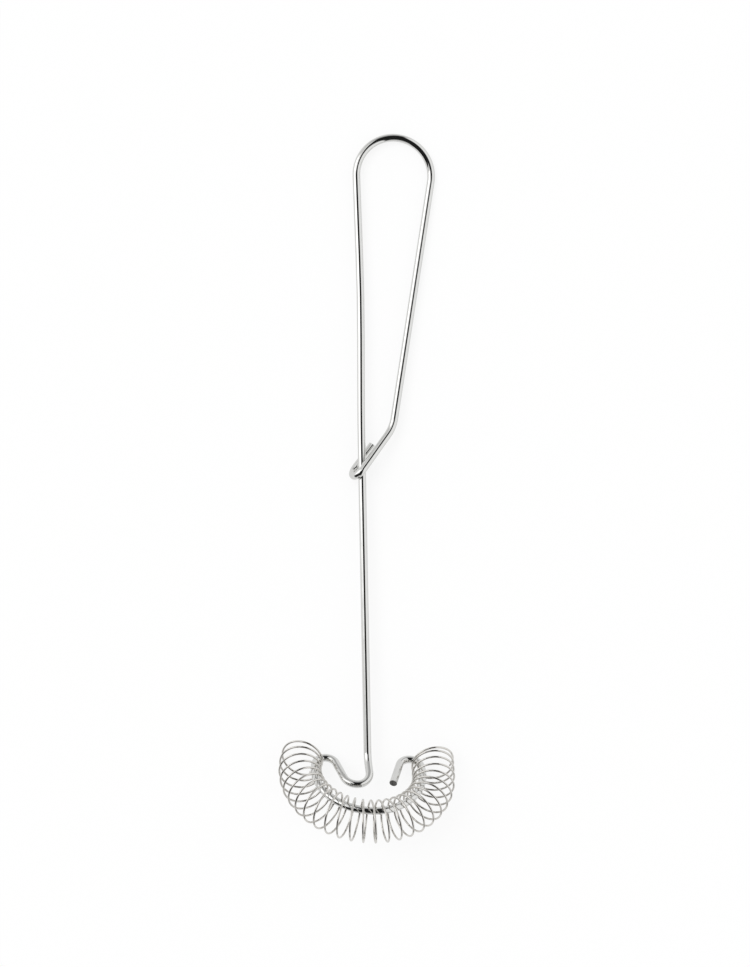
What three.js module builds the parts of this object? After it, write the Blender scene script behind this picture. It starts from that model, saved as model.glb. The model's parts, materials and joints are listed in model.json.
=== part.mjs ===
// A spiral whisk: one length of round steel wire bent into a handle loop, a shaft and a ring-shaped foot,
// and a long coil of thin spring wire threaded on the foot. Sizes are millimetres. The whisk lies on a table:
// +Z is up, +Y runs from the foot to the loop, and the origin is under the middle of its bounding box.

import * as THREE from "three";

// Wire sizes
const FRAME_WIRE = 3; // diameter of the bent frame wire
const COIL_WIRE = 0.6; // diameter of the coil's spring wire

// Handle, measured in the flat plane of the loop from the shaft's foot
const HANDLE_LENGTH = 230; // shaft's foot to the centre of the loop's round end
const LOOP_RADIUS = 14.8; // centreline radius of the round end
const ARM_LEAN = 10; // degrees by which the returning arm closes on the shaft
const WAIST_HEIGHT = 183; // where the shaft bows a little into the loop
const WAIST_DEPTH = 0.85;
const STRAIGHT_HEIGHT = 133; // the shaft is straight below this
const SOFT_BEND = 900; // radius of the two bends of that bow

// Hook that holds the arm to the shaft
const HOOK_HEIGHT = 117.3; // where it goes round the shaft
const HOOK_DROP = 14.4; // height of the arm's last bend above that
const HOOK_SPREAD = 3.3; // distance along the shaft between its front and its back strand
const HOOK_REACH = 5.4; // how far it goes past the shaft before it turns back
const HOOK_SKEW = 1.3; // how far the front strand goes beyond the back one before it turns
const HOOK_TAIL = 8; // back strand, from the shaft to the cut end
const HOOK_GAP = 0.25; // air between the hook and the shaft
const ARM_BEND = 14; // radius of the arm's last bend

// Foot, measured in the flat plane of the ring from the ring's centre
const FOOT_ANGLE = 48.5; // degrees between the ring and the plane of the loop
const RING_RADIUS = 21; // centreline radius of the open ring
const FOOT_RISE = 2.3; // the shaft meets the plane of the ring this far above the ring's centre
const FOOT_START = 3.7; // and it bends towards the ring this far above that plane
const FOOT_BEND = 8; // radius of that bend
const RETURN_DEPTH = 6.4; // how far below the ring's centre the wire turns back up
const LEG_LEAN = 14.6; // degrees by which the wire leans out as it climbs to the ring
const LEFT_REACH = 15; // degrees above the ring's middle at which its left end turns in
const RIGHT_REACH = 7.1; // and its right end
const END_BEND = 4.25; // radius of the bends at both ends of the ring
const TAIL_LEAN = 21.5; // degrees by which the cut tail leans
const TAIL_LENGTH = 13.7; // from the corner of its last bend to the cut end

// Coil
const COIL_RADIUS = 8.1; // centreline radius of one turn
const COIL_SPREAD = 4.9; // how much wider than the ring the circle is that the middle of the coil follows
const FULL_TURNS = 26; // between the two places where the end turns pass inside the wire's end bends
const START_TURN = 0.18; // part of a turn before the first of them
const FINISH_TURN = 0.57; // and after the last
const CLOSED_START = 0.4; // how many turns the pitch loses where the coil closes up at its left end
const CLOSED_FINISH = 0.5; // and at its right end
const LEAN_START = 0.7; // how far its left end turn leans outward over the wire's end bend, to each side
const LEAN_FINISH = 1.1; // and its right end turn
const CLOSING_TURNS = 1.5; // over how many turns the ends close up and lean
const STRAIGHT_FROM = 84; // degrees past the bottom of the ring after which the coil runs straight
const SEAT_SIDE = 224; // direction from the ring's centre in which the coil sags against the wire, degrees
const SEAT_GAP = 0.3; // between the coil and the frame wire where it sags
const END_GAP = 0.7; // between the end turns and the wire's end bends

// How finely curves are cut into flat facets
const FRAME_SIDES = 12;
const COIL_SIDES = 6;
const COIL_STEPS = 20; // per turn
const BEND_SAG = 0.03; // how far a facet may fall inside a bend
const REST_PASSES = 8; // rounds of laying the whisk down until it is still

const radians = THREE.MathUtils.degToRad;

// A line through given stations, so that a section lands on each of them and none is wasted on straights.
class StationCurve extends THREE.Curve {
  constructor(stations) {
    super();
    this.stations = stations; // each has a point and a unit heading
  }

  at(t) {
    return this.stations[Math.round(t * (this.stations.length - 1))];
  }

  getPoint(t, target = new THREE.Vector3()) {
    return target.copy(this.at(t).point);
  }

  getTangent(t, target = new THREE.Vector3()) {
    return target.copy(this.at(t).heading);
  }

  getUtoTmapping(u) {
    return u;
  }
}

// Round wire of the given diameter swept along the stations, with a flat cut at both ends.
function wire(stations, diameter, sides) {
  const section = new THREE.Shape();
  for (let i = 0; i < sides; i++) {
    const angle = (2 * Math.PI * i) / sides;
    const x = (diameter / 2) * Math.cos(angle);
    const y = (diameter / 2) * Math.sin(angle);
    if (i === 0) section.moveTo(x, y);
    else section.lineTo(x, y);
  }
  const extrudePath = new StationCurve(stations);
  return new THREE.ExtrudeGeometry(section, { steps: stations.length - 1, extrudePath, curveSegments: 1 });
}

// Stations of a wire bent at the given corners. Each corner but the first and last has a bend radius.
function bentWire(corners) {
  const stations = [];
  const add = (point, heading) => {
    const last = stations[stations.length - 1];
    if (!last || last.point.distanceTo(point) > 0.01) stations.push({ point, heading });
  };
  for (let i = 0; i < corners.length; i++) {
    const { at: corner, radius } = corners[i];
    const from = i > 0 ? corner.clone().sub(corners[i - 1].at).normalize() : null;
    const to = i < corners.length - 1 ? corners[i + 1].at.clone().sub(corner).normalize() : null;
    if (!from || !to) {
      add(corner, from || to);
      continue;
    }
    const turn = from.angleTo(to);
    const axis = from.clone().cross(to).normalize();
    const start = corner.clone().addScaledVector(from, -radius * Math.tan(turn / 2));
    const toCentre = axis.clone().cross(from);
    const centre = start.clone().addScaledVector(toCentre, radius);
    const steps = Math.ceil(turn / (2 * Math.acos(1 - BEND_SAG / radius)));
    for (let k = 0; k <= steps; k++) {
      const angle = (turn * k) / steps;
      const arm = toCentre.clone().multiplyScalar(-radius).applyAxisAngle(axis, angle);
      add(centre.clone().add(arm), from.clone().applyAxisAngle(axis, angle));
    }
  }
  return stations;
}

// Length that a bend of this radius takes from each side of its corner.
const setback = (radius, turn) => radius * Math.tan(turn / 2);

// The plane of the ring: across is +X, up leans back under the shaft, and normal faces up and to the loop.
const footAngle = radians(FOOT_ANGLE);
const ringUp = new THREE.Vector3(0, Math.cos(footAngle), -Math.sin(footAngle));
const ringNormal = new THREE.Vector3(0, Math.sin(footAngle), Math.cos(footAngle));
const ringCentre = ringUp.clone().multiplyScalar(-FOOT_RISE);

// A place in the plane of the ring, measured from the ring's centre, and lifted along the normal.
function onRing(across, up, lift = 0) {
  const place = new THREE.Vector3(across, 0, 0);
  return place.add(ringCentre).addScaledVector(ringUp, up).addScaledVector(ringNormal, lift);
}

// The bend at one end of the ring, side -1 for left and +1 for right: where the ring's arc stops, the top of
// the bend, and its two corners, the first on the ring's own tangent and the second on the leg that leaves it.
function ringEnd(side, reach, lean) {
  const stop = radians(reach);
  const top = (RING_RADIUS - END_BEND) * Math.sin(stop) + END_BEND;
  const middle = (RING_RADIUS - END_BEND) * Math.cos(stop);
  const outer = middle + setback(END_BEND, Math.PI / 2 - stop);
  const inner = middle - setback(END_BEND, Math.PI / 2 - lean);
  return { stop, top, outer: side * outer, inner: side * inner };
}

// Corners of the polygon round the ring whose sides its arc touches, from the left end to the right end.
function ringCorners(left, right) {
  const from = Math.PI - left.stop;
  const sweep = Math.PI + left.stop + right.stop;
  const count = Math.ceil(sweep / radians(60));
  const step = sweep / count;
  const reach = RING_RADIUS / Math.cos(step / 2);
  return Array.from({ length: count }, (_, i) => {
    const angle = from + step * (i + 0.5);
    return { at: onRing(reach * Math.cos(angle), reach * Math.sin(angle)), radius: RING_RADIUS };
  });
}

const legLean = radians(LEG_LEAN);
const tailLean = radians(TAIL_LEAN);
const leftEnd = ringEnd(-1, LEFT_REACH, legLean);
const rightEnd = ringEnd(1, RIGHT_REACH, tailLean);

// Handle and hook, from the cut end of the hook, round the shaft and the loop, to the top of the shaft.
function handleCorners() {
  const top = HANDLE_LENGTH + LOOP_RADIUS;
  const armLean = radians(ARM_LEAN);
  const shaftLean = Math.atan2(WAIST_DEPTH, HANDLE_LENGTH - WAIST_HEIGHT);
  const loopMiddle = LOOP_RADIUS;
  const leftCorner = loopMiddle - setback(LOOP_RADIUS, Math.PI / 2 + shaftLean);
  const rightCorner = loopMiddle + setback(LOOP_RADIUS, Math.PI / 2 + armLean);
  const bendHeight = HOOK_HEIGHT + HOOK_DROP;
  const armBend = new THREE.Vector3(rightCorner - (top - bendHeight) * Math.tan(armLean), bendHeight, 0);

  // The front strand climbs over the shaft, and the back strand returns under it.
  const clear = FRAME_WIRE + HOOK_GAP;
  const over = new THREE.Vector3(0, HOOK_HEIGHT - HOOK_SPREAD / 2, clear);
  const under = new THREE.Vector3(0, HOOK_HEIGHT + HOOK_SPREAD / 2, -clear);
  const climb = over.clone().sub(armBend).normalize();
  const along = climb.clone().setZ(0).normalize();
  const lead = (-along.y * HOOK_SPREAD) / 2;
  const frontTurn = over.clone().addScaledVector(climb, HOOK_REACH - lead + HOOK_SKEW / 2);
  const backTurn = under.clone().addScaledVector(along, HOOK_REACH + lead - HOOK_SKEW / 2);
  const cutEnd = under.clone().addScaledVector(along, -HOOK_TAIL);
  const hookRadius = frontTurn.distanceTo(backTurn) / 2.3;
  return [
    { at: cutEnd },
    { at: backTurn, radius: hookRadius },
    { at: frontTurn, radius: hookRadius },
    { at: armBend, radius: ARM_BEND },
    { at: new THREE.Vector3(rightCorner, top, 0), radius: LOOP_RADIUS },
    { at: new THREE.Vector3(leftCorner, top, 0), radius: LOOP_RADIUS },
    { at: new THREE.Vector3(WAIST_DEPTH, WAIST_HEIGHT, 0), radius: SOFT_BEND },
    { at: new THREE.Vector3(0, STRAIGHT_HEIGHT, 0), radius: SOFT_BEND },
  ];
}

// Foot, from the shaft down, back up to the ring's left end, round the ring and in to the cut tail.
function footCorners() {
  const climb = leftEnd.top + RETURN_DEPTH;
  const returnLeft = leftEnd.inner + climb * Math.tan(legLean);
  const returnBend = -returnLeft / (1 + Math.tan((Math.PI / 2 - legLean) / 2));
  const tailAcross = rightEnd.inner - TAIL_LENGTH * Math.sin(tailLean);
  const tailUp = rightEnd.top - TAIL_LENGTH * Math.cos(tailLean);
  return [
    { at: new THREE.Vector3(0, FOOT_START, 0), radius: FOOT_BEND },
    { at: onRing(0, -RETURN_DEPTH), radius: returnBend },
    { at: onRing(returnLeft, -RETURN_DEPTH), radius: returnBend },
    { at: onRing(leftEnd.inner, leftEnd.top), radius: END_BEND },
    { at: onRing(leftEnd.outer, leftEnd.top), radius: END_BEND },
    ...ringCorners(leftEnd, rightEnd),
    { at: onRing(rightEnd.outer, rightEnd.top), radius: END_BEND },
    { at: onRing(rightEnd.inner, rightEnd.top), radius: END_BEND },
    { at: onRing(tailAcross, tailUp) },
  ];
}

// The coil's middle follows a circle that is wider than the ring and sags against the wire on one side.
const spreadRadius = RING_RADIUS + COIL_SPREAD;
const seatShift = COIL_RADIUS - COIL_WIRE / 2 - SEAT_GAP - FRAME_WIRE / 2 - COIL_SPREAD;
const seatAcross = seatShift * Math.cos(radians(SEAT_SIDE));
const seatUp = seatShift * Math.sin(radians(SEAT_SIDE));

// Distance along that circle, from its lowest point, at which the turns' inner side has reached a given height.
// Side is -1 for the left and +1 for the right.
function reachedAt(side, up) {
  const innerRadius = spreadRadius - COIL_RADIUS;
  const arc = Math.PI / 2 + Math.asin((up - seatUp) / innerRadius);
  const limit = radians(STRAIGHT_FROM);
  if (side < 0 || arc < limit) return side * spreadRadius * arc;
  const beyond = (up - seatUp + innerRadius * Math.cos(limit)) / Math.sin(limit);
  return spreadRadius * limit + beyond;
}

// How strongly a place this many turns from an end of the coil takes part in what happens there.
function nearEnd(turnsAway) {
  const near = Math.max(0, 1 - turnsAway / CLOSING_TURNS);
  return near < 1 ? near * near : 2 * near - 1;
}

// How many full pitches the coil has advanced after some turns, with both its ends closed up a little.
function advanced(turns) {
  return turns + CLOSED_START * nearEnd(turns) - CLOSED_FINISH * nearEnd(FULL_TURNS - turns);
}

function coilStations() {
  const inside = FRAME_WIRE / 2 + END_GAP + COIL_WIRE / 2;
  const start = reachedAt(-1, leftEnd.top - inside) - LEAN_START;
  const finish = reachedAt(1, rightEnd.top - inside) + LEAN_FINISH;
  const pitch = (finish - start) / (advanced(FULL_TURNS) - advanced(0));
  const middle = (turns, angle) => {
    const lean = LEAN_FINISH * nearEnd(FULL_TURNS - turns) - LEAN_START * nearEnd(turns);
    const along = start + pitch * (advanced(turns) - advanced(0)) + lean * Math.cos(angle);
    const arc = Math.min(along / spreadRadius, radians(STRAIGHT_FROM));
    const beyond = along - arc * spreadRadius;
    return {
      across: seatAcross + spreadRadius * Math.sin(arc) + beyond * Math.cos(arc),
      up: seatUp - spreadRadius * Math.cos(arc) + beyond * Math.sin(arc),
      arc,
    };
  };
  const pointAt = (turns) => {
    const angle = Math.PI - 2 * Math.PI * turns;
    const { across, up, arc } = middle(turns, angle);
    const out = COIL_RADIUS * Math.cos(angle);
    return onRing(across + out * Math.sin(arc), up - out * Math.cos(arc), COIL_RADIUS * Math.sin(angle));
  };
  const turnsInAll = START_TURN + FULL_TURNS + FINISH_TURN;
  const steps = Math.round(turnsInAll * COIL_STEPS);
  const small = 1e-4;
  return Array.from({ length: steps + 1 }, (_, i) => {
    const turns = (turnsInAll * i) / steps - START_TURN;
    const heading = pointAt(turns + small).sub(pointAt(turns - small)).normalize();
    return { point: pointAt(turns), heading };
  });
}

const whisk = new THREE.Group();

const wireFrame = new THREE.Mesh(
  wire(bentWire([...handleCorners(), ...footCorners()]), FRAME_WIRE, FRAME_SIDES),
  new THREE.MeshStandardMaterial({ color: 0xd6d6d4, roughness: 0.12, metalness: 1 }),
);
wireFrame.name = "wire_frame";
whisk.add(wireFrame);

const whiskCoil = new THREE.Mesh(
  wire(coilStations(), COIL_WIRE, COIL_SIDES),
  new THREE.MeshStandardMaterial({ color: 0xcfccc6, roughness: 0.2, metalness: 1 }),
);
whiskCoil.name = "whisk_coil";
whisk.add(whiskCoil);

// The lowest corner of a mesh among those that pass the test, in the table's frame.
function lowest(mesh, test) {
  const corners = mesh.geometry.getAttribute("position");
  const corner = new THREE.Vector3();
  const best = new THREE.Vector3(0, 0, Infinity);
  for (let i = 0; i < corners.count; i++) {
    corner.fromBufferAttribute(corners, i);
    if (!test(corner)) continue;
    corner.applyMatrix4(mesh.matrixWorld);
    if (corner.z < best.z) best.copy(corner);
  }
  return best;
}

// Lays the whisk down on three points, as it settles by itself: the end of the loop and both ends of the coil.
function layDown(group) {
  const up = new THREE.Vector3(0, 0, 1);
  for (let pass = 0; pass < REST_PASSES; pass++) {
    group.updateMatrixWorld(true);
    const loopEnd = lowest(wireFrame, (corner) => corner.y > HANDLE_LENGTH);
    const leftTurn = lowest(whiskCoil, (corner) => corner.x < 0);
    const rightTurn = lowest(whiskCoil, (corner) => corner.x > 0);
    const facing = loopEnd.clone().sub(leftTurn).cross(rightTurn.clone().sub(leftTurn)).normalize();
    if (facing.z < 0) facing.negate();
    group.quaternion.premultiply(new THREE.Quaternion().setFromUnitVectors(facing, up));
  }
  group.updateMatrixWorld(true);
  const box = new THREE.Box3().setFromObject(group, true);
  const middle = box.getCenter(new THREE.Vector3());
  group.position.sub(new THREE.Vector3(middle.x, middle.y, box.min.z));
  group.updateMatrixWorld(true);
}

layDown(whisk);

const part = new THREE.Group();
part.add(whisk);

export default part;
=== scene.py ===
# %% [markdown]
# # A spiral whisk in polished wire
#
# The whisk is two pieces of round wire. One length of 3 mm wire is bent into a handle loop, a
# hook that holds the loop shut, a straight shaft and a ring-shaped foot. A long coil of thin
# spring wire hangs on the foot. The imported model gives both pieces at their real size, as plain
# facets. Here they get smooth, round wire of the same shape, a polished finish, and the white
# studio that polished metal needs to look like metal.

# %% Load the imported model
import bpy
import json
import math
from mathutils import Matrix, Vector


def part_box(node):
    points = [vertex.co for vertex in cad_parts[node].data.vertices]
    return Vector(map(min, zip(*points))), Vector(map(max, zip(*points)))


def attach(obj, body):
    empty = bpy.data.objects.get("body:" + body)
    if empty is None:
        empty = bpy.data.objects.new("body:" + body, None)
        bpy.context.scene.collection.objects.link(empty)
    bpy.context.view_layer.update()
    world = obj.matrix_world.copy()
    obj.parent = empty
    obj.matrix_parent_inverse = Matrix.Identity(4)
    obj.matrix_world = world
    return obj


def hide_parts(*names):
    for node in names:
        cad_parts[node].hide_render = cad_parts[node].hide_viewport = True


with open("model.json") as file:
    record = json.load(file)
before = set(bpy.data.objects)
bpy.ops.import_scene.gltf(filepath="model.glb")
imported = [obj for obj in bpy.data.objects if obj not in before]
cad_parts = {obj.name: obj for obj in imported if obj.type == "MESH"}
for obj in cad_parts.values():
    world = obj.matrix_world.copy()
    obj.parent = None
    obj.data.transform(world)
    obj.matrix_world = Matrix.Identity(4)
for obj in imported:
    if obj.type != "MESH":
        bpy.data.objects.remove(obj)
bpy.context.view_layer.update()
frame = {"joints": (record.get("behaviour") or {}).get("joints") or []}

MM = 0.001

# %% [markdown]
# ## The camera
#
# A photograph of a small product is taken from far away with a long lens, so that nothing looks
# stretched. This one looks nearly straight down at the table from 1.3 m. The camera stands a
# little to the left of the whisk and is turned a little, so the three turns and the point that it
# looks at are written as named values. The width of what it sees on the table, together with the
# distance, gives the lens.

# %% Camera
CAMERA_DISTANCE = 1300 * MM
CAMERA_LEFT = 5.4  # degrees to the left of straight above
CAMERA_FORWARD = 0.5  # degrees towards the foot
CAMERA_ROLL = -0.96  # degrees turned about its own line of sight
LOOKS_AT = Vector((5.84, 0.5, 0)) * MM
PICTURE_WIDTH = 750  # pixels
PIXEL = 0.3899 * MM  # what one pixel sees of the table
SENSOR_WIDTH = 36  # mm
VIEW_DEPTH = 10  # metres


def make_camera():
    camera = bpy.data.objects.new("camera", bpy.data.cameras.new("camera"))
    bpy.context.scene.collection.objects.link(camera)
    turn = Matrix.Rotation(math.radians(-CAMERA_LEFT), 4, "Y")
    turn @= Matrix.Rotation(math.radians(CAMERA_FORWARD), 4, "X")
    turn @= Matrix.Rotation(math.radians(CAMERA_ROLL), 4, "Z")
    back_off = Matrix.Translation((0, 0, CAMERA_DISTANCE))
    camera.matrix_world = Matrix.Translation(LOOKS_AT) @ turn @ back_off
    camera.data.sensor_fit = "HORIZONTAL"
    camera.data.sensor_width = SENSOR_WIDTH
    camera.data.lens = SENSOR_WIDTH * CAMERA_DISTANCE / (PICTURE_WIDTH * PIXEL)
    camera.data.clip_end = VIEW_DEPTH
    bpy.context.scene.camera = camera
    return camera


camera = make_camera()
print("lens of", round(camera.data.lens, 1), "mm")

# %% [markdown]
# ## How the wire is described
#
# A wire bender thinks of a wire as a line with corners, and of each corner as a bend of some
# radius. That is the shortest honest description of this whisk too. The handle lies in one flat
# plane, and the foot in another that leans against it. Each helper below returns corners as a
# place and a bend radius. The sizes are in millimetres, and they are the ones that the packed
# model was made with. Only the strand of the coil is thicker here, 0.8 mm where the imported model
# has 0.6 mm, because 0.8 mm looks right beside the photograph. The outside of the coil stays
# where it was.

# %% Sizes of the wire
FRAME_WIRE = 3  # thickness of the bent wire
COIL_WIRE = 0.8  # thickness of the coil's strand

# The handle. Heights are measured up the shaft, from where it meets the plane of the foot.
HANDLE_LENGTH = 230  # height of the loop's centre
LOOP_RADIUS = 14.8
ARM_LEAN = math.radians(10)  # of the arm against the shaft
WAIST_HEIGHT = 183  # where the shaft is furthest off its own straight line
WAIST_DEPTH = 0.85
STRAIGHT_HEIGHT = 133  # the shaft is straight below this
SOFT_BEND = 900  # radius of the shaft's two faint bends
HOOK_HEIGHT = 117.3
HOOK_DROP = 14.4  # from the arm's bend down to the hook
HOOK_SPREAD = 3.3  # height between the hook's passes over and under the shaft
HOOK_REACH = 5.4  # from the shaft out to the hook's turn
HOOK_SKEW = 1.3  # how much further the front of the turn reaches than its back
HOOK_TAIL = 8  # from the shaft out to the cut end
HOOK_GAP = 0.25  # clear space between hook and shaft
HOOK_ROUNDNESS = 2.3  # width of the hook's turn over the radius of its bends
ARM_BEND = 14

# The foot, in its own plane. Heights are measured from the ring's centre.
FOOT_ANGLE = math.radians(48.5)  # between the planes of foot and handle
RING_RADIUS = 21
FOOT_RISE = 2.3  # height at which the shaft's line meets the foot's plane
FOOT_START = 3.7  # how far up the shaft its last bend has its corner
FOOT_BEND = 8
RETURN_DEPTH = 6.4  # of the return bend
LEG_LEAN = math.radians(14.6)  # of the leg from the return bend up to the ring
LEFT_REACH = math.radians(15)  # of the ring beyond half a circle, on each side
RIGHT_REACH = math.radians(7.1)
END_BEND = 4.25  # radius of the bends at both ends of the ring
TAIL_LEAN = math.radians(21.5)
TAIL_LENGTH = 13.7
LONGEST_ARC = math.radians(60)  # of the ring, for one rounded corner

RING_UP = Vector((0, math.cos(FOOT_ANGLE), -math.sin(FOOT_ANGLE)))
RING_NORMAL = Vector((0, math.sin(FOOT_ANGLE), math.cos(FOOT_ANGLE)))


def on_ring(across, up, lift=0.0):
    """A place measured from the ring's centre, in the plane of the ring, and lifted off it."""
    return Vector((across, 0, 0)) + RING_UP * (up - FOOT_RISE) + RING_NORMAL * lift


def setback(radius, turn):
    """Length that a bend takes from each side of its corner."""
    return radius * math.tan(turn / 2)


# %% The handle: hook, arm, loop and shaft
def handle_corners():
    """From the hook's cut end, along the arm and round the loop, down to the straight shaft."""
    top = HANDLE_LENGTH + LOOP_RADIUS
    shaft_lean = math.atan2(WAIST_DEPTH, HANDLE_LENGTH - WAIST_HEIGHT)
    left = LOOP_RADIUS - setback(LOOP_RADIUS, math.pi / 2 + shaft_lean)
    right = LOOP_RADIUS + setback(LOOP_RADIUS, math.pi / 2 + ARM_LEAN)
    bend_height = HOOK_HEIGHT + HOOK_DROP
    arm_bend = Vector((right - (top - bend_height) * math.tan(ARM_LEAN), bend_height, 0))

    clear = FRAME_WIRE + HOOK_GAP
    over = Vector((0, HOOK_HEIGHT - HOOK_SPREAD / 2, clear))
    under = Vector((0, HOOK_HEIGHT + HOOK_SPREAD / 2, -clear))
    climb = (over - arm_bend).normalized()
    along = Vector((climb.x, climb.y, 0)).normalized()
    lead = -along.y * HOOK_SPREAD / 2
    front_turn = over + climb * (HOOK_REACH - lead + HOOK_SKEW / 2)
    back_turn = under + along * (HOOK_REACH + lead - HOOK_SKEW / 2)
    hook_radius = (front_turn - back_turn).length / HOOK_ROUNDNESS
    return [
        (under - along * HOOK_TAIL, 0),
        (back_turn, hook_radius),
        (front_turn, hook_radius),
        (arm_bend, ARM_BEND),
        (Vector((right, top, 0)), LOOP_RADIUS),
        (Vector((left, top, 0)), LOOP_RADIUS),
        (Vector((WAIST_DEPTH, WAIST_HEIGHT, 0)), SOFT_BEND),
        (Vector((0, STRAIGHT_HEIGHT, 0)), SOFT_BEND),
    ]


# %% The foot: return bend, ring and cut tail
def ring_end(side, stop, lean):
    """Height of the bend at one end of the ring, and where its two corners are.

    Side is -1 for the left end and +1 for the right end.
    """
    top = (RING_RADIUS - END_BEND) * math.sin(stop) + END_BEND
    middle = (RING_RADIUS - END_BEND) * math.cos(stop)
    outer = side * (middle + setback(END_BEND, math.pi / 2 - stop))
    inner = side * (middle - setback(END_BEND, math.pi / 2 - lean))
    return top, outer, inner


def ring_corners():
    """Corners of the polygon whose sides the ring's arc touches."""
    sweep = math.pi + LEFT_REACH + RIGHT_REACH
    count = math.ceil(sweep / LONGEST_ARC)
    step = sweep / count
    reach = RING_RADIUS / math.cos(step / 2)
    angles = [math.pi - LEFT_REACH + step * (i + 0.5) for i in range(count)]
    places = [on_ring(reach * math.cos(angle), reach * math.sin(angle)) for angle in angles]
    return [(place, RING_RADIUS) for place in places]


def foot_corners():
    """From the end of the shaft, round the ring, to the tail's cut end."""
    left_top, left_outer, left_inner = ring_end(-1, LEFT_REACH, LEG_LEAN)
    right_top, right_outer, right_inner = ring_end(1, RIGHT_REACH, TAIL_LEAN)
    return_left = left_inner + (left_top + RETURN_DEPTH) * math.tan(LEG_LEAN)
    return_bend = -return_left / (1 + math.tan((math.pi / 2 - LEG_LEAN) / 2))
    tail_across = right_inner - TAIL_LENGTH * math.sin(TAIL_LEAN)
    tail_up = right_top - TAIL_LENGTH * math.cos(TAIL_LEAN)
    return [
        (Vector((0, FOOT_START, 0)), FOOT_BEND),
        (on_ring(0, -RETURN_DEPTH), return_bend),
        (on_ring(return_left, -RETURN_DEPTH), return_bend),
        (on_ring(left_inner, left_top), END_BEND),
        (on_ring(left_outer, left_top), END_BEND),
        *ring_corners(),
        (on_ring(right_outer, right_top), END_BEND),
        (on_ring(right_inner, right_top), END_BEND),
        (on_ring(tail_across, tail_up), 0),
    ]


frame_corners = handle_corners() + foot_corners()
print(len(frame_corners), "corners from the hook's cut end to the tail's")

# %% [markdown]
# ## The coil
#
# The coil is a helix whose middle doesn't run straight but follows a circle a little wider than
# the ring, because the springy coil wants to open out. It sags against the wire on one side. Near
# both ends the wire of the ring turns inwards, and that pushes the last turns together and makes
# them lean. A formula gives any point of it from one number, the turns counted from the first
# place where the coil passes inside the ring's end bend.

# %% Sizes of the coil
COIL_RADIUS = 8.0  # out to the middle of the strand
SPREAD_RADIUS = RING_RADIUS + 4.9  # of the circle that the coil's middle follows
FULL_TURNS = 26  # between the places where the coil passes inside the two end bends
START_TURN = 0.18  # part of a turn before the first of them
FINISH_TURN = 0.57  # part of a turn after the second
CLOSED_START = 0.4  # pitches by which the first turns are pushed together
CLOSED_FINISH = 0.5
LEAN_START = 0.7  # mm that the first turns lean along the coil
LEAN_FINISH = 1.1
CLOSING_TURNS = 1.5  # over which closing and leaning fade
STRAIGHT_FROM = math.radians(84)  # from the ring's lowest point; the right end runs straight on
SEAT_SIDE = math.radians(224)  # the way that the coil has sagged
SEAT_GAP = 0.1  # between strand and ring, where they are nearest
END_GAP = 0.6  # between strand and end bend
STEPS_PER_TURN = 44

SEAT_SHIFT = COIL_RADIUS - COIL_WIRE / 2 - SEAT_GAP - FRAME_WIRE / 2 - (SPREAD_RADIUS - RING_RADIUS)
SEAT_ACROSS = SEAT_SHIFT * math.cos(SEAT_SIDE)
SEAT_UP = SEAT_SHIFT * math.sin(SEAT_SIDE)


# %% The coil's centre line
def near_end(turns_away):
    """1 at an end of the coil, more beyond it, and fading to 0 over the closing turns."""
    near = max(0, 1 - turns_away / CLOSING_TURNS)
    return near * near if near < 1 else 2 * near - 1


def advanced(turns):
    """How many pitches the coil has gone along its middle after this many turns."""
    return turns + CLOSED_START * near_end(turns) - CLOSED_FINISH * near_end(FULL_TURNS - turns)


def reached_at(side, up):
    """How far along its circle the coil is when the inner side of its turns is at this height."""
    inner_radius = SPREAD_RADIUS - COIL_RADIUS
    arc = math.pi / 2 + math.asin((up - SEAT_UP) / inner_radius)
    if side < 0 or arc < STRAIGHT_FROM:
        return side * SPREAD_RADIUS * arc
    beyond = (up - SEAT_UP + inner_radius * math.cos(STRAIGHT_FROM)) / math.sin(STRAIGHT_FROM)
    return SPREAD_RADIUS * STRAIGHT_FROM + beyond


def coil_points():
    """Points along the middle of the strand, from the coil's left end to its right end."""
    inside = FRAME_WIRE / 2 + END_GAP + COIL_WIRE / 2
    start = reached_at(-1, ring_end(-1, LEFT_REACH, LEG_LEAN)[0] - inside) - LEAN_START
    finish = reached_at(1, ring_end(1, RIGHT_REACH, TAIL_LEAN)[0] - inside) + LEAN_FINISH
    pitch = (finish - start) / (advanced(FULL_TURNS) - advanced(0))
    print("pitch of", round(pitch, 2), "mm")

    def point_at(turns):
        angle = math.pi - 2 * math.pi * turns
        lean = LEAN_FINISH * near_end(FULL_TURNS - turns) - LEAN_START * near_end(turns)
        along = start + pitch * (advanced(turns) - advanced(0)) + lean * math.cos(angle)
        arc = min(along / SPREAD_RADIUS, STRAIGHT_FROM)
        beyond = along - arc * SPREAD_RADIUS
        out = COIL_RADIUS * math.cos(angle)
        across = SEAT_ACROSS + (SPREAD_RADIUS + out) * math.sin(arc) + beyond * math.cos(arc)
        up = SEAT_UP - (SPREAD_RADIUS + out) * math.cos(arc) + beyond * math.sin(arc)
        return on_ring(across, up, COIL_RADIUS * math.sin(angle))

    turns_in_all = START_TURN + FULL_TURNS + FINISH_TURN
    steps = round(turns_in_all * STEPS_PER_TURN)
    return [point_at(turns_in_all * i / steps - START_TURN) for i in range(steps + 1)]


# %% [markdown]
# ## Laying the whisk on the table
#
# On the table the whisk touches at three points: the end of the loop and both ends of the coil.
# That leaves it turned a little from the flat plane it was bent in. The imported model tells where
# the ring's centre went, because the coil's joint sits there. The small turn is written as a
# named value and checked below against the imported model's own boxes.

# %% From the bending plane to the table
LIE_TURN = Vector((-1.1805, 4.3513, 0))  # degrees turned about X and Y
coil_joint = next(joint for joint in frame["joints"] if joint["name"] == "coil_play")
ring_centre = Vector(coil_joint["pos_m"])
turned = Matrix.Rotation(math.radians(LIE_TURN.length), 3, LIE_TURN.normalized())


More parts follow.
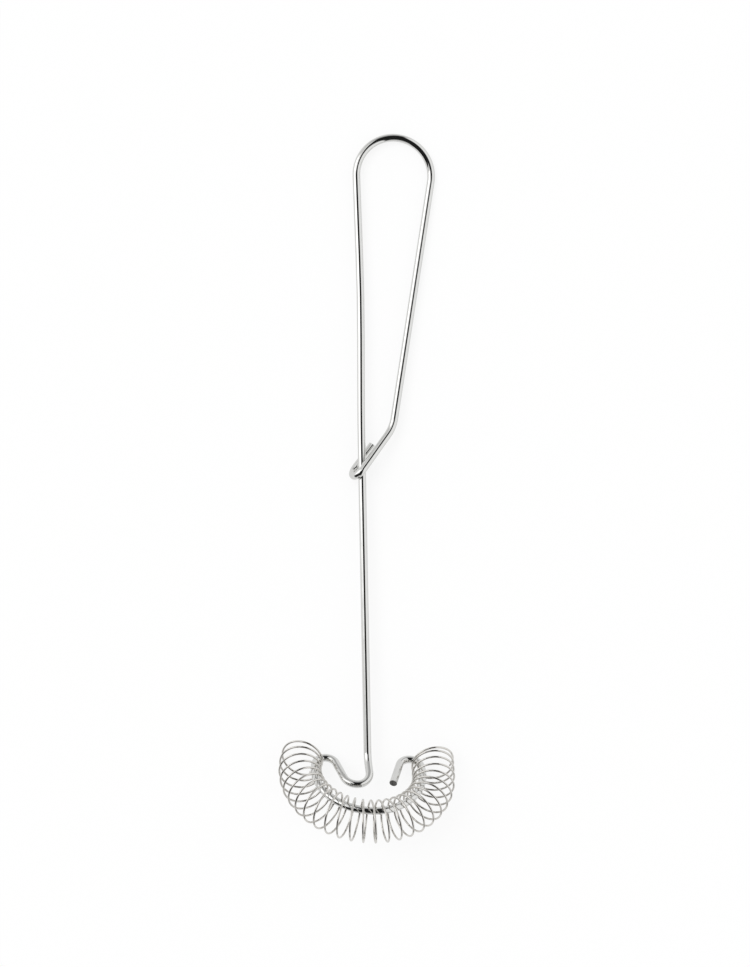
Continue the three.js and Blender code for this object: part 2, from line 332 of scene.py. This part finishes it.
def on_table(point):
    """The place of a bending-plane point on the table, in metres."""
    return ring_centre + turned @ (point - on_ring(0, 0)) * MM


# %% [markdown]
# ## One tree that makes wire
#
# Both pieces are round wire along a path, so one Geometry Nodes tree makes both. It gets the bare
# corners as a chain of points. Fillet Curve rounds each corner by the bend radius that is stored
# on it, a circle is swept along the result, and the two cut faces get a material of their own.
# Neighbouring bends of the ring meet in one point, so doubled points are merged before the sweep.

# %% A small helper for nodes
def add_node(tree, kind, settings=None, inputs=None):
    """Adds a node, sets its properties, and links or fills its inputs, named or numbered."""
    node = tree.nodes.new(kind)
    for name, value in (settings or {}).items():
        setattr(node, name, value)
    for name, value in (inputs or {}).items():
        if isinstance(value, bpy.types.NodeSocket):
            tree.links.new(value, node.inputs[name])
        else:
            node.inputs[name].default_value = value
    return node


# %% The wire tree
DOUBLE_POINTS = 0.02 * MM  # points nearer than this are one point


def make_wire_tree():
    """The tree has the path, the sizes and the two materials as its named inputs."""
    tree = bpy.data.node_groups.new("round_wire_on_a_path", "GeometryNodeTree")
    sockets = [
        ("Path", "NodeSocketGeometry"),
        ("Diameter", "NodeSocketFloat"),
        ("Sides", "NodeSocketInt"),
        ("Wire Finish", "NodeSocketMaterial"),
        ("Cut Finish", "NodeSocketMaterial"),
    ]
    for name, kind in sockets:
        tree.interface.new_socket(name, in_out="INPUT", socket_type=kind)
    tree.interface.new_socket("Wire", in_out="OUTPUT", socket_type="NodeSocketGeometry")
    given = add_node(tree, "NodeGroupInput").outputs

    def stored(name, data_type="FLOAT"):
        return add_node(tree, "GeometryNodeInputNamedAttribute", {"data_type": data_type}, {
            "Name": name}).outputs["Attribute"]

    chain = add_node(tree, "GeometryNodeMeshToCurve", inputs={"Mesh": given["Path"]})
    bends = add_node(tree, "GeometryNodeFilletCurve", {"mode": "POLY"}, {
        "Curve": chain.outputs[0], "Count": stored("bend_steps", "INT"),
        "Radius": stored("bend_radius")})
    line = add_node(tree, "GeometryNodeCurveToMesh", inputs={"Curve": bends.outputs[0]})
    merged = add_node(tree, "GeometryNodeMergeByDistance", inputs={
        "Geometry": line.outputs[0], "Distance": DOUBLE_POINTS})
    path = add_node(tree, "GeometryNodeMeshToCurve", inputs={"Mesh": merged.outputs[0]})
    sized = add_node(tree, "GeometryNodeSetCurveRadius", inputs={
        "Curve": path.outputs[0], "Radius": stored("thickness")})
    radius = add_node(tree, "ShaderNodeMath", {"operation": "DIVIDE"}, {
        0: given["Diameter"], 1: 2.0})
    section = add_node(tree, "GeometryNodeCurvePrimitiveCircle", {"mode": "RADIUS"}, {
        "Resolution": given["Sides"], "Radius": radius.outputs[0]})
    sweep = add_node(tree, "GeometryNodeCurveToMesh", inputs={
        "Curve": sized.outputs[0], "Profile Curve": section.outputs[0], "Fill Caps": True})
    # The sides of the wire are faces with four corners, the two cuts have more.
    corners = add_node(tree, "GeometryNodeInputMeshFaceNeighbors").outputs["Vertex Count"]
    is_cut = add_node(tree, "FunctionNodeCompare", {
        "data_type": "INT", "operation": "GREATER_THAN"}, {2: corners, 3: 4}).outputs[0]
    is_side = add_node(tree, "FunctionNodeBooleanMath", {"operation": "NOT"}, {0: is_cut})
    smooth = add_node(tree, "GeometryNodeSetShadeSmooth", inputs={
        "Geometry": sweep.outputs[0], "Shade Smooth": is_side.outputs[0]})
    real = add_node(tree, "GeometryNodeRealizeInstances", inputs={"Geometry": smooth.outputs[0]})
    polished = add_node(tree, "GeometryNodeSetMaterial", inputs={
        "Geometry": real.outputs[0], "Material": given["Wire Finish"]})
    cut = add_node(tree, "GeometryNodeSetMaterial", inputs={
        "Geometry": polished.outputs[0], "Selection": is_cut, "Material": given["Cut Finish"]})
    add_node(tree, "NodeGroupOutput", inputs={"Wire": cut.outputs[0]})
    return tree


wire_tree = make_wire_tree()
print("wire tree of", len(wire_tree.nodes), "nodes")

# %% [markdown]
# ## Materials
#
# Both wires are stainless steel. The frame's wire is bright drawn and then polished, so it is
# nearly a mirror: what the eye reads as its colour is the white tent, the dark openings in it and
# the table. Drawing, bending and tumbling leave soft dents and a faint haze. Both are far too fine
# to see by themselves, but they make the dark line along the shaft waver, which tells real metal
# from a computed one. The spring wire is as bright, and a little warmer in colour. The cut faces
# are torn steel, rough and dark with lighter grains.

# %% Colours and small parts for the materials
def linear(hex_colour):
    """An sRGB colour such as #d8d8d6 as linear red, green, blue and full alpha."""
    channels = [int(hex_colour[i:i + 2], 16) / 255 for i in (1, 3, 5)]
    return [c / 12.92 if c <= 0.04045 else ((c + 0.055) / 1.055) ** 2.4 for c in channels] + [1.0]


def per_metre(size_mm):
    """The scale of a pattern whose features are this many millimetres across."""
    return 1 / (size_mm * MM)


def new_material(name):
    """A material with an empty node tree, and that tree."""
    material = bpy.data.materials.new(name)
    material.use_nodes = True
    material.node_tree.nodes.clear()
    return material, material.node_tree


def mixed_values(tree, amount, first, second):
    """The first value where the amount is 0, and the second where it is 1."""
    return add_node(tree, "ShaderNodeMix", {"data_type": "FLOAT"}, {
        0: amount, 2: first, 3: second}).outputs[0]


def mixed_colours(tree, amount, first, second):
    """The same for two sRGB colours."""
    return add_node(tree, "ShaderNodeMix", {"data_type": "RGBA"}, {
        0: amount, 6: linear(first), 7: linear(second)}).outputs[2]


def maths(tree, operation, *values):
    """The result of one operation on sockets or plain numbers."""
    node = add_node(tree, "ShaderNodeMath", {"operation": operation}, dict(enumerate(values)))
    return node.outputs[0]


def soft_step(tree, value, edge, low=0.0, high=1.0):
    """Low below the edge and high above it. An edge is a place and its softness to each side."""
    place, softness = edge
    return add_node(tree, "ShaderNodeMapRange", {"interpolation_type": "SMOOTHSTEP"}, {
        "Value": value, "From Min": place - softness, "From Max": place + softness,
        "To Min": low, "To Max": high}).outputs[0]


def seen_in_wire(tree, rays):
    """1 for what the polished wire mirrors or shows through, and 0 for the rest."""
    return maths(tree, "MAXIMUM", rays["Is Glossy Ray"], rays["Is Transmission Ray"])


# %% Polished stainless wire
DENT_SIZE = 9  # mm
HAZE_SIZE = 2.5  # mm
NOISE_LOW, NOISE_HIGH = 0.3, 0.7  # nearly all of a noise pattern lies between these


def polished_steel(name, light, shade, roughness, haze, dent):
    """Bright drawn steel: two near colours, roughness from clear to hazy, and dents in mm."""
    material, tree = new_material(name)
    place = add_node(tree, "ShaderNodeTexCoord").outputs["Object"]
    soft = add_node(tree, "ShaderNodeTexNoise", inputs={
        "Vector": place, "Scale": per_metre(DENT_SIZE), "Detail": 2.0, "Roughness": 0.5})
    fine = add_node(tree, "ShaderNodeTexNoise", inputs={
        "Vector": place, "Scale": per_metre(HAZE_SIZE), "Detail": 3.0, "Roughness": 0.6})
    rough = add_node(tree, "ShaderNodeMapRange", inputs={
        "Value": fine.outputs[0], "From Min": NOISE_LOW, "From Max": NOISE_HIGH,
        "To Min": roughness, "To Max": haze})
    bump = add_node(tree, "ShaderNodeBump", inputs={
        "Height": soft.outputs[0], "Strength": 1.0, "Distance": dent * MM})
    surface = add_node(tree, "ShaderNodeBsdfPrincipled", inputs={
        "Base Color": mixed_colours(tree, fine.outputs[0], light, shade), "Metallic": 1.0,
        "Roughness": rough.outputs[0], "Normal": bump.outputs[0]})
    add_node(tree, "ShaderNodeOutputMaterial", inputs={"Surface": surface.outputs[0]})
    return material


frame_finish = polished_steel(
    "polished_stainless_wire", light="#e6e6e4", shade="#dcdcda",
    roughness=0.04, haze=0.08, dent=0.035)
coil_finish = polished_steel(
    "bright_spring_wire", light="#e8e6e2", shade="#d0cdc8",
    roughness=0.02, haze=0.05, dent=0.01)


# %% Torn steel on the cut faces
CUT_DARK = "#1a1a1a"
CUT_LIGHT = "#a2a19e"
CUT_ROUGHNESS = 0.45
GRAIN_SIZE = 1.0  # mm
GRAIN_DEPTH = 0.25  # mm


def torn_steel():
    material, tree = new_material("sheared_wire_end")
    place = add_node(tree, "ShaderNodeTexCoord").outputs["Object"]
    grain = add_node(tree, "ShaderNodeTexNoise", inputs={
        "Vector": place, "Scale": per_metre(GRAIN_SIZE), "Detail": 4.0, "Roughness": 0.65})
    bump = add_node(tree, "ShaderNodeBump", inputs={
        "Height": grain.outputs[0], "Strength": 1.0, "Distance": GRAIN_DEPTH * MM})
    surface = add_node(tree, "ShaderNodeBsdfPrincipled", inputs={
        "Base Color": mixed_colours(tree, grain.outputs[0], CUT_DARK, CUT_LIGHT),
        "Metallic": 1.0, "Roughness": CUT_ROUGHNESS, "Normal": bump.outputs[0]})
    add_node(tree, "ShaderNodeOutputMaterial", inputs={"Surface": surface.outputs[0]})
    return material


cut_finish = torn_steel()
print("materials:", ", ".join(m.name for m in (frame_finish, coil_finish, cut_finish)))

# %% [markdown]
# ## Making the two wires
#
# The corners become a chain of points that carries three numbers on each point: the bend radius,
# how many steps the bend is cut into, and the wire's thickness. The shears squeeze a wire a
# little where they cut it, so the last quarter of a millimetre at both ends is thinner.

# %% From corners to a chain of points
BEND_STEP = math.radians(4)  # one facet of a bend turns this much
CUT_BEVEL = 0.25  # mm of each end that the shears have rounded
CUT_THICKNESS = 0.84  # of the wire's own, at the cut


def chain_object(name, corners):
    """An object whose mesh is the bare chain of corners, each with its bend and thickness."""
    first, second = corners[0][0], corners[1][0]
    last, before = corners[-1][0], corners[-2][0]
    inside_first = first + (second - first).normalized() * CUT_BEVEL
    inside_last = last + (before - last).normalized() * CUT_BEVEL
    full = [(first, 0), (inside_first, 0)] + corners[1:-1] + [(inside_last, 0), (last, 0)]
    places = [place for place, radius in full]
    mesh = bpy.data.meshes.new(name)
    links = [(i, i + 1) for i in range(len(places) - 1)]
    mesh.from_pydata([on_table(place) for place in places], links, [])
    turns = [0] * len(places)
    for i in range(1, len(places) - 1):
        turns[i] = (places[i] - places[i - 1]).angle(places[i + 1] - places[i])
    steps = [max(2, math.ceil(turn / BEND_STEP)) for turn in turns]
    thickness = [CUT_THICKNESS] + [1.0] * (len(places) - 2) + [CUT_THICKNESS]
    columns = [
        ("bend_radius", "FLOAT", [radius * MM for place, radius in full]),
        ("bend_steps", "INT", steps),
        ("thickness", "FLOAT", thickness),
    ]
    for column, kind, values in columns:
        mesh.attributes.new(column, kind, "POINT").data.foreach_set("value", values)
    piece = bpy.data.objects.new(name, mesh)
    bpy.context.scene.collection.objects.link(piece)
    return piece


# %% From a chain to wire
def wire_object(name, corners, diameter, sides, finish):
    """A wire along the corners, with the wire tree's result applied to its mesh."""
    piece = chain_object(name, corners)
    modifier = piece.modifiers.new("wire", "NODES")
    modifier.node_group = wire_tree
    values = {
        "Diameter": diameter * MM,
        "Sides": sides,
        "Wire Finish": finish,
        "Cut Finish": cut_finish,
    }
    for item in wire_tree.interface.items_tree:
        if item.in_out == "INPUT" and item.name in values:
            modifier[item.identifier] = values[item.name]
    evaluated = piece.evaluated_get(bpy.context.evaluated_depsgraph_get())
    mesh = bpy.data.meshes.new_from_object(evaluated)
    mesh.name = name
    piece.modifiers.remove(modifier)
    piece.data = mesh
    print(name, "has", len(mesh.polygons), "faces and materials", [m.name for m in mesh.materials])
    return piece


# %% Frame wire and coil wire
FRAME_SIDES = 32
COIL_SIDES = 12

bent_wire = wire_object(
    "bent_frame_wire", frame_corners, FRAME_WIRE, FRAME_SIDES, frame_finish)
coil_corners = [(point, 0) for point in coil_points()]
coil_wire = wire_object(
    "coil_spring_wire", coil_corners, COIL_WIRE, COIL_SIDES, coil_finish)

# %% Each piece moves with its own body and stands for its plain node
for piece, body, node, slot in (
    (bent_wire, "frame", "wire_frame", "frame_wire"),
    (coil_wire, "coil", "whisk_coil", "coil_wire"),
):
    low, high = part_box(node)
    points = [vertex.co for vertex in piece.data.vertices]
    misses = [abs(min(point[i] for point in points) - low[i]) for i in range(3)]
    misses += [abs(max(point[i] for point in points) - high[i]) for i in range(3)]
    print(piece.name, "is within", round(max(misses) / MM, 2), "mm of its node's box")
    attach(piece, body)
    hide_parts(node)

# %% [markdown]
# ## The studio
#
# Polished wire shows nothing but its surroundings, so the studio is part of the finish. The dark
# lines in the wire of the photograph tell what stood around it: a white tent with a dark hole
# straight above, a dark slit that runs from there towards the handle, and a dark room on the
# photographer's side. A round wire mirrors the slit as a thin dark line along its middle. Where a
# wire crosses the picture, as at the top of the loop and in the middle of the ring, the line
# becomes a broad dark patch. A soft box on the left, level with the handle, gives the white
# streak beside the line. Each of these is one patch of brightness, placed by the direction in
# which a mirrored ray leaves. A direction is written by its lengths along X, Y and Z, each from
# -1 to 1.

# %% The white tent, as the world
WHITE = "#ffffff"

# Brightness in a mirror
TENT = 0.98  # the tent's walls
LEFT_WALL = 0.72  # the wall on the left, below the soft box
FAR_WALL = 0.46  # the wall beyond the handle
NEAR_WALL = 0.6  # the wall beyond the coil, below the dark room
ROOM = 0.015  # the dark room behind the tent's openings
SOFT_BOX = 1.6
TENT_LIGHT = 0.8  # the light that the tent gives to matt things

# Edges: a place along X, Y or Z, and how soft the edge is to each side of it
HORIZON = (0.05, 0.05)  # Z
LEFT_WALL_EDGE = (-0.3, 0.15)  # X
FAR_WALL_EDGE = (0.84, 0.06)  # Y
NEAR_WALL_EDGE = (-0.9, 0.03)  # Y
SOFT_BOX_RIGHT = (-0.46, 0.04)  # X
SOFT_BOX_NEAR = (0.02, 0.04)  # Y
SOFT_BOX_FAR = (0.6, 0.1)  # Y
SLIT_MIDDLE = 0.14  # X; above 0 is to the right of straight up
SLIT_SIDE = (0.27, 0.05)  # X, from the slit's middle
SLIT_NEAR = (0.0, 0.05)  # Y
SLIT_FAR = (0.86, 0.05)  # Y
HOLE_MIDDLE = -0.04  # X
HOLE_SIDE = (0.43, 0.04)  # X, from the hole's middle
HOLE_END = (0.2, 0.06)  # Y, to both sides of straight up
ROOM_RIGHT = (0.46, 0.05)  # X
ROOM_TOP = (-0.13, 0.04)  # Y


def make_world():
    world = bpy.data.worlds.new("white_tent")
    world.use_nodes = True
    tree = world.node_tree
    tree.nodes.clear()
    way = add_node(tree, "ShaderNodeTexCoord").outputs["Generated"]
    x, y, z = add_node(tree, "ShaderNodeSeparateXYZ", inputs={"Vector": way}).outputs

    def over(value, edge):
        return soft_step(tree, value, edge)

    def under(value, edge):
        return soft_step(tree, value, edge, low=1.0, high=0.0)

    def away_from(value, middle):
        return maths(tree, "ABSOLUTE", maths(tree, "SUBTRACT", value, middle))

    above = over(z, HORIZON)
    slit_side = under(away_from(x, SLIT_MIDDLE), SLIT_SIDE)
    hole_side = under(away_from(x, HOLE_MIDDLE), HOLE_SIDE)
    hole_end = under(maths(tree, "ABSOLUTE", y), HOLE_END)

    # Each patch covers what comes before it, where all its edges are 1.
    patches = [
        (LEFT_WALL, under(x, LEFT_WALL_EDGE)),
        (FAR_WALL, over(y, FAR_WALL_EDGE)),
        (SOFT_BOX, under(x, SOFT_BOX_RIGHT), over(y, SOFT_BOX_NEAR), under(y, SOFT_BOX_FAR), above),
        (ROOM, slit_side, over(y, SLIT_NEAR), under(y, SLIT_FAR), above),
        (ROOM, hole_side, hole_end, above),
        (ROOM, under(x, ROOM_RIGHT), under(y, ROOM_TOP), above),
        (NEAR_WALL, under(y, NEAR_WALL_EDGE)),
    ]
    mirror = TENT
    for level, amount, *more in patches:
        for edge in more:
            amount = maths(tree, "MULTIPLY", amount, edge)
        mirror = mixed_values(tree, amount, mirror, level)

    rays = add_node(tree, "ShaderNodeLightPath").outputs
    level = mixed_values(tree, seen_in_wire(tree, rays), TENT_LIGHT, mirror)
    shown = mixed_values(tree, rays["Is Camera Ray"], level, 1.0)
    light = add_node(tree, "ShaderNodeBackground", inputs={
        "Color": linear(WHITE), "Strength": shown})
    add_node(tree, "ShaderNodeOutputWorld", inputs={"Surface": light.outputs[0]})
    bpy.context.scene.world = world


make_world()

# %% The white table
TABLE_SIZE = 6.0  # metres
TABLE_COLOUR = "#f4f4f4"
TABLE_SHADOW = 0.18  # how much of the shadow shows
TABLE_PAINTED_REFLECTION = 0.82  # painted reflection: how bright the table glows where the wire mirrors it
TABLE_REFLECTION_DARK_EDGE = (-0.25, 0.02)  # metres along Y; towards the photographer from here the table's reflection in the wire is painted dark, as painted shade for a dark room


def make_table():
    material, tree = new_material("white_table")
    rays = add_node(tree, "ShaderNodeLightPath").outputs
    place = add_node(tree, "ShaderNodeTexCoord").outputs["Object"]
    along = add_node(tree, "ShaderNodeSeparateXYZ", inputs={"Vector": place}).outputs["Y"]
    in_wire = seen_in_wire(tree, rays)
    # Painted reflection: in the wire the table glows at a set level, and on the photographer's side
    # it is painted dark as painted shade.
    mirror = soft_step(tree, along, TABLE_REFLECTION_DARK_EDGE, low=ROOM, high=TABLE_PAINTED_REFLECTION)
    white = add_node(tree, "ShaderNodeEmission", inputs={
        "Color": linear(WHITE), "Strength": mixed_values(tree, in_wire, 1.0, mirror)})
    matt = add_node(tree, "ShaderNodeBsdfDiffuse", inputs={"Color": linear(TABLE_COLOUR)})
    seen = maths(tree, "MAXIMUM", rays["Is Camera Ray"], in_wire)
    mixed = add_node(tree, "ShaderNodeMixShader", inputs={
        0: maths(tree, "MULTIPLY", seen, 1 - TABLE_SHADOW),
        1: matt.outputs[0], 2: white.outputs[0]})
    add_node(tree, "ShaderNodeOutputMaterial", inputs={"Surface": mixed.outputs[0]})
    half = TABLE_SIZE / 2
    corners = [(-half, -half, 0), (half, -half, 0), (half, half, 0), (-half, half, 0)]
    mesh = bpy.data.meshes.new("white_table")
    mesh.from_pydata(corners, [], [(0, 1, 2, 3)])
    mesh.materials.append(material)
    table = bpy.data.objects.new("white_table", mesh)
    bpy.context.scene.collection.objects.link(table)


make_table()

# %% The lamp at the upper left
LAMP_FROM = Vector((-0.55, 0.35, 1.0))  # the direction that its light comes from
LAMP_STRENGTH = 1.1
LAMP_SOFTNESS = math.radians(35)  # how wide the lamp looks from the table


def make_lamp():
    lamp = bpy.data.objects.new("soft_lamp", bpy.data.lights.new("soft_lamp", "SUN"))
    bpy.context.scene.collection.objects.link(lamp)
    lamp.data.energy = LAMP_STRENGTH
    lamp.data.angle = LAMP_SOFTNESS
    lamp.visible_glossy = False  # the soft box in the tent already shows in the wire
    lamp.matrix_world = LAMP_FROM.to_track_quat("Z", "Y").to_matrix().to_4x4()


make_lamp()

# %% [markdown]
# ## The picture's tones
#
# White has to stay white and grey has to stay the grey that was written, so the plain Standard view
# is used.

# %% Finish
bpy.context.scene.view_settings.view_transform = "Standard"
